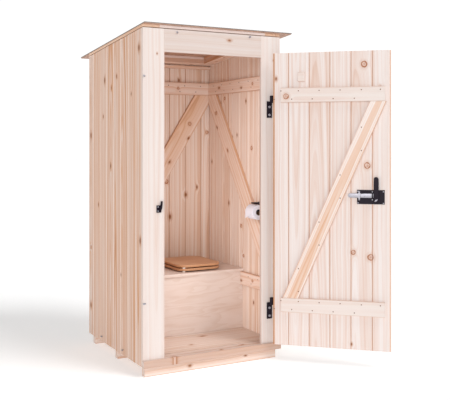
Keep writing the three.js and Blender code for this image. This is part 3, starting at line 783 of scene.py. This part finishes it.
seat_wood = Finish("pressed_seat_wood", specular=0.45)
seat_place = seat_wood.place()
seat_normal = seat_wood.node("ShaderNodeNewGeometry").outputs["Normal"]
facing_up = seat_wood.split(seat_normal)[2].math("ABSOLUTE")
seat_fibre = seat_wood.noise(seat_wood.scaled(seat_place, (9, 160, 160)), 1.0, 3.0, 0.6)
seat_line = seat_wood.noise(seat_wood.scaled(seat_place, (1.5, 28, 28)), 1.0, 2.0, 0.6)
seat_tone = seat_wood.mix(seat_fibre * 0.4 + seat_line * 0.6, colour("DDB28F"), colour("C58F66"))
seat_tone = seat_wood.mix(seat_wood.step(facing_up, 0.8, 0.3) * 0.6, seat_tone, colour("B27A4F"))
seat_finish = seat_wood.done(seat_tone, 0.38 + seat_fibre * 0.12, seat_fibre, 0.0001)
rubber = Finish("pale_rubber")
rubber_tone = rubber.mix(rubber.noise(rubber.place(), 300.0), colour("F5F2EF"), colour("E2DDD8"))
rubber_finish = rubber.done(rubber_tone, 0.6)

lid_low, lid_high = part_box("seat_lid")
ring_low, ring_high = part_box("seat_ring")
hole_x = (ring_low.x + ring_high.x) / 2
hole_y = (ring_low.y + ring_high.y) / 2 - HOLE_FORWARD
hole = []
for degrees in range(0, 360, 6):
    angle = math.radians(degrees)
    hole.append((hole_x + HOLE_HALF[0] * math.cos(angle), hole_y + HOLE_HALF[1] * math.sin(angle)))
lid = pressed_board(rounded_outline(lid_low, lid_high, SEAT_CORNER), lid_high.z - SEAT_THICK, lid_high.z)
finish_piece(lid, "seat_lid_board", seat_finish, "seat_lid", ["seat_lid"], rounded=True)
ring = pressed_board(rounded_outline(ring_low, ring_high, SEAT_CORNER), ring_high.z - SEAT_THICK,
                     ring_high.z, hole)
finish_piece(ring, "seat_ring_board", seat_finish, "cabin", ["seat_ring"], rounded=True)
ring_gap = ring_high.z - SEAT_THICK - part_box("bench_top")[1].z
lid_gap = lid_high.z - SEAT_THICK - ring_high.z
for name, body, base, gap in (("lid_buffers", "seat_lid", ring_high.z, lid_gap),
                              ("ring_buffers", "cabin", ring_high.z - SEAT_THICK - ring_gap, ring_gap)):
    buffers = bmesh.new()
    spots = [(ring_low.x + 0.042, ring_low.y + 0.028), (ring_high.x - 0.018, ring_low.y + 0.07),
             (ring_low.x + 0.03, ring_high.y - 0.08), (ring_high.x - 0.03, ring_high.y - 0.08)]
    for x, y in spots:
        bmesh.ops.create_cone(buffers, cap_ends=True, segments=20, radius1=0.010, radius2=0.012,
                              depth=gap - 0.0004, matrix=Matrix.Translation((x, y, base + gap / 2)))
    finish_piece(buffers, name, rubber_finish, body, rounded=True)
zinc = Finish("bright_zinc", metallic=1.0, specular=0.5)
zinc_place = zinc.place()
zinc_cloud = zinc.noise(zinc_place, 90.0, 3.0)
zinc_tone = zinc.mix(zinc_cloud, colour("97949D"), colour("C6C4CC"))
zinc_finish = zinc.done(zinc_tone, 0.3 + zinc_cloud * 0.2, zinc.noise(zinc_place, 700.0), 0.00004)
for node in ("seat_hinge_left", "seat_hinge_right"):
    keep_shape(node, 0.0015, "block", zinc_finish, rounded=False)

# ---- Door ----
# Six tongued boards hung as one leaf, held by two ledges and a brace that rises away from the
# hinges. Everything on it is laid out with the door shut and then swung to where it rests.
door_joint = next(j for j in frame["joints"] if j["name"] == "door_hinge")
pin = Vector(door_joint["pos_m"])
opened = -math.radians(door_joint["range_deg"][0])
door_turn = Matrix.Translation(pin) @ Matrix.Rotation(opened, 4, "Z") @ Matrix.Translation(-pin)
TONGUE = 0.009
TONGUE_THICK = 0.006
DOOR_FIRST, DOOR_COVER = 0.097, 0.1364
DOOR_BRACE_SLANT = 0.1038
DOOR_BRACE_WIDTH = 0.095


def shut_box(node):
    """The box of a door node with the door shut."""
    corners = [door_turn.inverted() @ v.co for v in frame["nodes"][node].data.vertices]
    low = Vector([min(c[i] for c in corners) for i in range(3)])
    high = Vector([max(c[i] for c in corners) for i in range(3)])
    return low, high


def hang(bm, name, material, nodes=(), body="door", rounded=False):
    """Finishes a piece that was laid out on the shut door."""
    bmesh.ops.transform(bm, matrix=door_turn, verts=bm.verts)
    finish_piece(bm, name, material, body, nodes, rounded)


door_low, door_high = shut_box("door_panel")
hinge_edge = door_high.x - TONGUE
door_boards = bmesh.new()
lay_row(door_boards, door_high.z - door_low.z, covers_of(DOOR_FIRST, DOOR_COVER, hinge_edge - door_low.x),
        lambda start: lie_along((hinge_edge - start, door_low.y, door_low.z), LEFT, UP),
        door_high.y - door_low.y)
door_wood = timber("door_timber", ("EDE3DF", "E3CBBF", "C89472"), figure=0.75, joint="DCA67F",
                   eyes=[(0.590, 1.847, 0.020), (0.610, 1.193, 0.020), (0.520, 0.630, 0.015),
                         (0.631, 0.601, 0.020)],
                   specks=[(0.693, 1.690, 0.008), (0.510, 0.034, 0.006), (0.012, 1.765, 0.008)], rim=0.6)
hang(door_boards, "door_boards", door_wood, ["door_panel"])
# The tongue's deep orange tones are painted shade, for the narrow gap between the door's edge and the stile.
tongue_shade_wood = timber("tongue_shade_timber", ("DDAE88", "CB8F62", "A8693F"))
door_tongue = bmesh.new()
tongue_at = (hinge_edge + TONGUE, (door_low.y + door_high.y - TONGUE_THICK) / 2, door_low.z)
size = (TONGUE + 0.001, door_high.z - door_low.z, TONGUE_THICK)
lay_board(door_tongue, size, lie_along(tongue_at, LEFT, UP), 0.4)
hang(door_tongue, "door_tongue", tongue_shade_wood, ["door_panel"])
door_ledge_wood = timber("door_ledge_timber", ("EADFD9", "E2CABE", "C69675"), eyes=[(0.039, 0.641, 0.018)],
                         rim=0.3, figure=0.45)
for node in ("door_ledge_upper", "door_ledge_lower", "door_block"):
    low, high = shut_box(node)
    ledge = bmesh.new()
    size = (high.z - low.z, high.x - low.x, high.y - low.y)
    plain_from = 0 if node == "door_ledge_upper" else 3
    lay_board(ledge, size, lie_along(low, UP, RIGHT), draw.random(), edge=0.002, along_from=plain_from)
    hang(ledge, node + "_board", door_ledge_wood, [node])
brace_low, brace_high = shut_box("door_brace")
brace_run = brace_high.x - brace_low.x - DOOR_BRACE_SLANT
brace_rise = brace_high.z - brace_low.z
door_brace_wood = timber("door_brace_timber", ("F2E6E0", "E4BA9D", "C58455"), rim=0.3, figure=1.3)
brace = lay_brace((brace_low.x + DOOR_BRACE_SLANT, brace_low.y, brace_high.z), (-brace_run, 0, brace_rise),
                  BACK, 1, (brace_low, brace_high), DOOR_BRACE_WIDTH)
hang(brace, "door_brace_board", door_brace_wood, ["door_brace"])

DOOR_NAIL_INSET = 0.02
DOOR_NAIL_SHIFT = 0.045
BRACE_NAIL_SPREAD = 0.075
LAST_NAIL = 0.695
door_nails = bmesh.new()
middles = [DOOR_FIRST / 2] + [DOOR_FIRST + DOOR_COVER * (i + 0.5) for i in range(4)]
for node in ("door_ledge_upper", "door_ledge_lower"):
    low, high = shut_box(node)
    top, bottom = high.z - DOOR_NAIL_INSET, low.z + DOOR_NAIL_INSET
    for s in middles:
        x = hinge_edge - s
        add_heads(door_nails, [(x, high.y, top), (x + DOOR_NAIL_SHIFT, high.y, bottom)], BACK, *NAIL)
    add_heads(door_nails, [(hinge_edge - LAST_NAIL, high.y, top)], BACK, *NAIL)
for s in middles:
    x = hinge_edge - s
    z = brace_low.z + brace_rise * (brace_high.x - DOOR_BRACE_SLANT / 2 - x) / brace_run
    for height in (z - BRACE_NAIL_SPREAD, z + BRACE_NAIL_SPREAD):
        if brace_low.z + DOOR_NAIL_INSET < height < brace_high.z - DOOR_NAIL_INSET:
            add_heads(door_nails, [(x, brace_high.y, height)], BACK, *NAIL)
hang(door_nails, "door_nails", nail_finish)

# ---- Hinges ----
# Black strap hinges. A screwed plate on the stile carries each upright pin, and the strap on the
# door's outer face wraps round it.
iron = Finish("black_iron", specular=0.2)
iron_grain = iron.noise(iron.place(), 500.0, 2.0)
iron_tone = iron.mix(iron_grain, colour("120B14"), colour("251A29"))
iron_finish = iron.done(iron_tone, 0.38 + iron_grain * 0.2, iron_grain, 0.0001)


def add_domes(bm, points, facing, radius, height, segments=16):
    """Round bolt or rivet heads on a face that looks along facing."""
    turn = Vector(facing).to_track_quat("Z", "Y").to_matrix().to_4x4()
    flat = Matrix.Diagonal((1, 1, height / radius, 1))
    for point in points:
        bmesh.ops.create_uvsphere(bm, u_segments=segments, v_segments=10, radius=radius,
                                  matrix=Matrix.Translation(point) @ turn @ flat)


bolt_heads = bmesh.new()
for level in ("upper", "lower"):
    keep_shape("strap_" + level, 0.0008, "iron", iron_finish, "door")
    keep_shape("pintle_" + level, 0.0008, "iron", iron_finish)
    low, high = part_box("pintle_" + level)
    stile_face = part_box("stile_right")[0].y
    spots = [(pin.x, stile_face - 0.004, low.z + up) for up in (0.020, 0.073)]
    add_domes(bolt_heads, spots, FRONT, 0.009, 0.005)
finish_piece(bolt_heads, "hinge_bolt_heads", zinc_finish, "cabin", rounded=True)

# ---- Latch ----
# A black plate screwed to the door, with a bright steel bolt that slides under two riveted
# straps. A black lever hangs on a pin through its foot and works the bolt.
plate_low, plate_high = shut_box("latch_plate")
bolt_low, bolt_high = shut_box("latch_bolt")
latch_face = plate_high.y
STRAP_METAL = 0.0016
STRAP_WIDE = 0.009
STRAP_PLAY = 0.0006
STRAP_FOOT = 0.016
STRAPS_AT = (0.559, 0.643)


def shut_copy(node, edge, segments=2):
    """A crisp copy of a door node, laid back on the shut door."""
    bm = crisp_copy(node, edge, segments)
    bmesh.ops.transform(bm, matrix=door_turn.inverted(), verts=bm.verts)
    return bm


hang(shut_copy("latch_plate", 0.0008), "latch_plate_iron", iron_finish, ["latch_plate"])
foot_z = (bolt_low.z - STRAP_FOOT, bolt_high.z + STRAP_FOOT)
inner_z = (bolt_low.z - STRAP_PLAY, bolt_high.z + STRAP_PLAY)
over = bolt_high.y + STRAP_PLAY
strap_face = latch_face + STRAP_METAL
LATCH_STRAPS = ((STRAPS_AT[0], "near", zinc_finish, "zinc_steel"),
                (STRAPS_AT[1], "far", iron_finish, "black_iron"))
for s, name, metal, slot in LATCH_STRAPS:
    straps = bmesh.new()
    section = [
        (foot_z[0], latch_face), (inner_z[0], latch_face), (inner_z[0], over), (inner_z[1], over),
        (inner_z[1], latch_face), (foot_z[1], latch_face), (foot_z[1], strap_face),
        (inner_z[1] + STRAP_METAL, strap_face), (inner_z[1] + STRAP_METAL, over + STRAP_METAL),
        (inner_z[0] - STRAP_METAL, over + STRAP_METAL), (inner_z[0] - STRAP_METAL, strap_face),
        (foot_z[0], strap_face),
    ]
    start = hinge_edge - s - STRAP_WIDE / 2
    outline = straps.faces.new([straps.verts.new((start, y, z)) for z, y in section])
    draw_out(straps, [outline], (STRAP_WIDE, 0, 0))
    bmesh.ops.recalc_face_normals(straps, faces=straps.faces)
    hang(straps, "latch_strap_" + name, metal, ["latch_guide"])

bolt = shut_copy("latch_bolt", 0.0015)
KNOB_AT = 0.578
KNOB_RADIUS = 0.0128
KNOB_HIGH = 0.008
knob_base = Vector((hinge_edge - KNOB_AT, bolt_high.y, (bolt_low.z + bolt_high.z) / 2))
knob_turn = Matrix.Translation(knob_base) @ Matrix.Rotation(math.radians(-90), 4, "X")
knob = bmesh.ops.create_cone(bolt, cap_ends=True, segments=32, radius1=KNOB_RADIUS, radius2=KNOB_RADIUS,
                             depth=KNOB_HIGH, matrix=knob_turn)["verts"]
knob_rim = [e for e in {e for v in knob for e in v.link_edges} if e.calc_face_angle(0) > math.radians(50)]
ease_edges(bolt, knob_rim, 0.002, 3)
hang(bolt, "latch_bolt_steel", zinc_finish, ["latch_bolt"], "latch_bolt", rounded=True)

hang(shut_copy("latch_lever", 0.0022, 3), "latch_lever_iron", iron_finish, ["latch_lever"],
     "latch_lever", rounded=True)
lever_joint = next(j for j in frame["joints"] if j["name"] == "lever_turn")
pivot = door_turn.inverted() @ Vector(lever_joint["pos_m"])
pivot_top = Vector((pivot.x, shut_box("latch_lever")[1].y, pivot.z))
lever_pin = bmesh.new()
add_heads(lever_pin, [pivot_top], BACK, 0.006, 0.003, 16)
CLIP = (0.021, 0.0025, 0.005, 1)
clip_turn = Matrix.Translation(pivot_top + Vector((0, 0.002, 0))) @ Matrix.Rotation(math.radians(35), 4, "Y")
bmesh.ops.create_cube(lever_pin, size=1, matrix=clip_turn @ Matrix.Diagonal(CLIP))
hang(lever_pin, "latch_lever_pin", zinc_finish, (), "latch_lever")

SCREW_DOME = (0.0048, 0.002, 12)
latch_screws = bmesh.new()
rivets = [(hinge_edge - s, strap_face, z) for s in STRAPS_AT
          for z in (foot_z[0] + 0.005, foot_z[1] - 0.005)]
add_domes(latch_screws, rivets, BACK, 0.0045, 0.002, 12)
corners = [(x, latch_face, z) for x in (plate_low.x + 0.008, plate_high.x - 0.006)
           for z in (plate_low.z + 0.007, plate_high.z - 0.010)]
add_domes(latch_screws, corners, BACK, *SCREW_DOME)
hang(latch_screws, "latch_screws", zinc_finish, rounded=True)

# ---- Keeper ----
# A black screwed plate on the left stile, with a hook that stands forward and curves up.
keep_shape("keeper", 0.001, "iron", iron_finish)
low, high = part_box("keeper")
keeper_screws = bmesh.new()
add_domes(keeper_screws, [(low.x + 0.011, high.y - 0.003, low.z + up) for up in (0.010, 0.035)], FRONT,
          *SCREW_DOME)
finish_piece(keeper_screws, "keeper_screws", zinc_finish, "cabin", rounded=True)

# ---- Toilet roll ----
# A soft white roll on a card core, hung on a black holder. Its loose end lies over the room side
# and is torn off on the slant.
low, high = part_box("toilet_roll")
centre = (low + high) / 2
RADIUS = (high.z - low.z) / 2
CORE_RADIUS = 0.020
PAPER_EASE = 0.0025
near, far = low.y + PAPER_EASE, high.y - PAPER_EASE
rim_from, rim_to = CORE_RADIUS + PAPER_EASE, RADIUS - PAPER_EASE
section = [(CORE_RADIUS, near), (rim_from, low.y), (rim_to, low.y), (RADIUS, near),
           (RADIUS, far), (rim_to, high.y), (rim_from, high.y), (CORE_RADIUS, far)]
roll = bmesh.new()
verts = [roll.verts.new((centre.x, y, centre.z + r)) for r, y in section]
edges = [roll.edges.new(pair) for pair in zip(verts, verts[1:] + verts[:1])]
bmesh.ops.spin(roll, geom=verts + edges, cent=centre, axis=BACK, angle=math.tau, steps=72, use_merge=True)
bmesh.ops.recalc_face_normals(roll, faces=roll.faces)
TAIL_GAP = 0.0008
TAIL_DROP = 0.06
TEAR_START = 0.003
TEAR_SLANT = 0.43
paper = Finish("soft_paper", roughness=0.95, specular=0.1)
from_axis = paper.node("ShaderNodeVectorMath", {"operation": "SUBTRACT"}, [paper.place(), tuple(centre)])
off_x, _, off_z = paper.split(from_axis.outputs[0])
wound = (off_x * off_x + off_z * off_z).math("SQRT")
quilt = paper.noise(paper.place(), 420.0, 3.0)
paper_tone = paper.mix(quilt, colour("DFDDE8"), colour("F0EFF7"))
card = paper.step(wound, CORE_RADIUS + 0.0013, CORE_RADIUS + 0.0007)
paper_tone = paper.mix(card, paper_tone, colour("8A6A52"))
layers = (wound * 5200.0).math("SINE") * 0.3
paper_finish = paper.done(paper_tone, 0.95, quilt + layers, 0.0004)
finish_piece(roll, "toilet_roll_paper", paper_finish, "cabin", ["toilet_roll"], rounded=True)

tail = bmesh.new()
bmesh.ops.create_grid(tail, x_segments=16, y_segments=4, size=0.5)
wrapped = RADIUS * math.pi / 2
for v in tail.verts:
    travelled = (v.co.x + 0.5) * (wrapped + TAIL_DROP)
    turned = min(travelled, wrapped) / RADIUS
    hanging = max(travelled - wrapped, 0)
    y = low.y + 0.001 + (v.co.y + 0.5) * (high.y - low.y - 0.002)
    reach = RADIUS + TAIL_GAP
    v.co = (centre.x - reach * math.sin(turned), y, centre.z + reach * math.cos(turned) - hanging)
tear = (centre.x, low.y, centre.z - TEAR_START)
bmesh.ops.bisect_plane(tail, geom=tail.verts[:] + tail.edges[:] + tail.faces[:], dist=1e-6, plane_co=tear,
                       plane_no=(0, -TEAR_SLANT, -1), clear_outer=True)
bmesh.ops.recalc_face_normals(tail, faces=tail.faces)
bmesh.ops.solidify(tail, geom=tail.faces[:], thickness=0.0004)
finish_piece(tail, "toilet_roll_tail", paper_finish, "cabin", rounded=True)
keep_shape("roll_holder", 0.0008, "iron", iron_finish)

# ---- Screws ----
# Bright screws through the edges of the frame and the walls, driven in askew, so that one side of
# each head stands proud.
SCREW = (0.0062, 0.016)
stile_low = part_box("stile_left")[0]
lintel_low, lintel_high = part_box("lintel")
screws = bmesh.new()
front_face = stile_low.y
for x, z, lean in ((stile_low.x + 0.011, 1.860, -0.8), (stile_low.x + 0.008, 0.453, 0.8),
                   (lintel_low.x + 0.090, 2.143, -0.8), (lintel_high.x - 0.090, 2.148, 0.2)):
    add_heads(screws, [(x, front_face, z)], Vector((lean, -1, 0.3)).normalized(), *SCREW)
for y, z in ((wall_low.y + 0.713, 0.094), (wall_low.y + 0.313, 0.092)):
    add_heads(screws, [(wall_low.x, y, z)], Vector((-1, -0.6, 0.3)).normalized(), *SCREW)
for x in (-1, 1):
    for z in (0.972, 1.781):
        spot = (x * (back_high.x + 0.002), back_high.y, z)
        add_heads(screws, [spot], Vector((x * 0.9, 1, 0.2)).normalized(), *SCREW)
finish_piece(screws, "frame_screws", zinc_finish, "cabin")
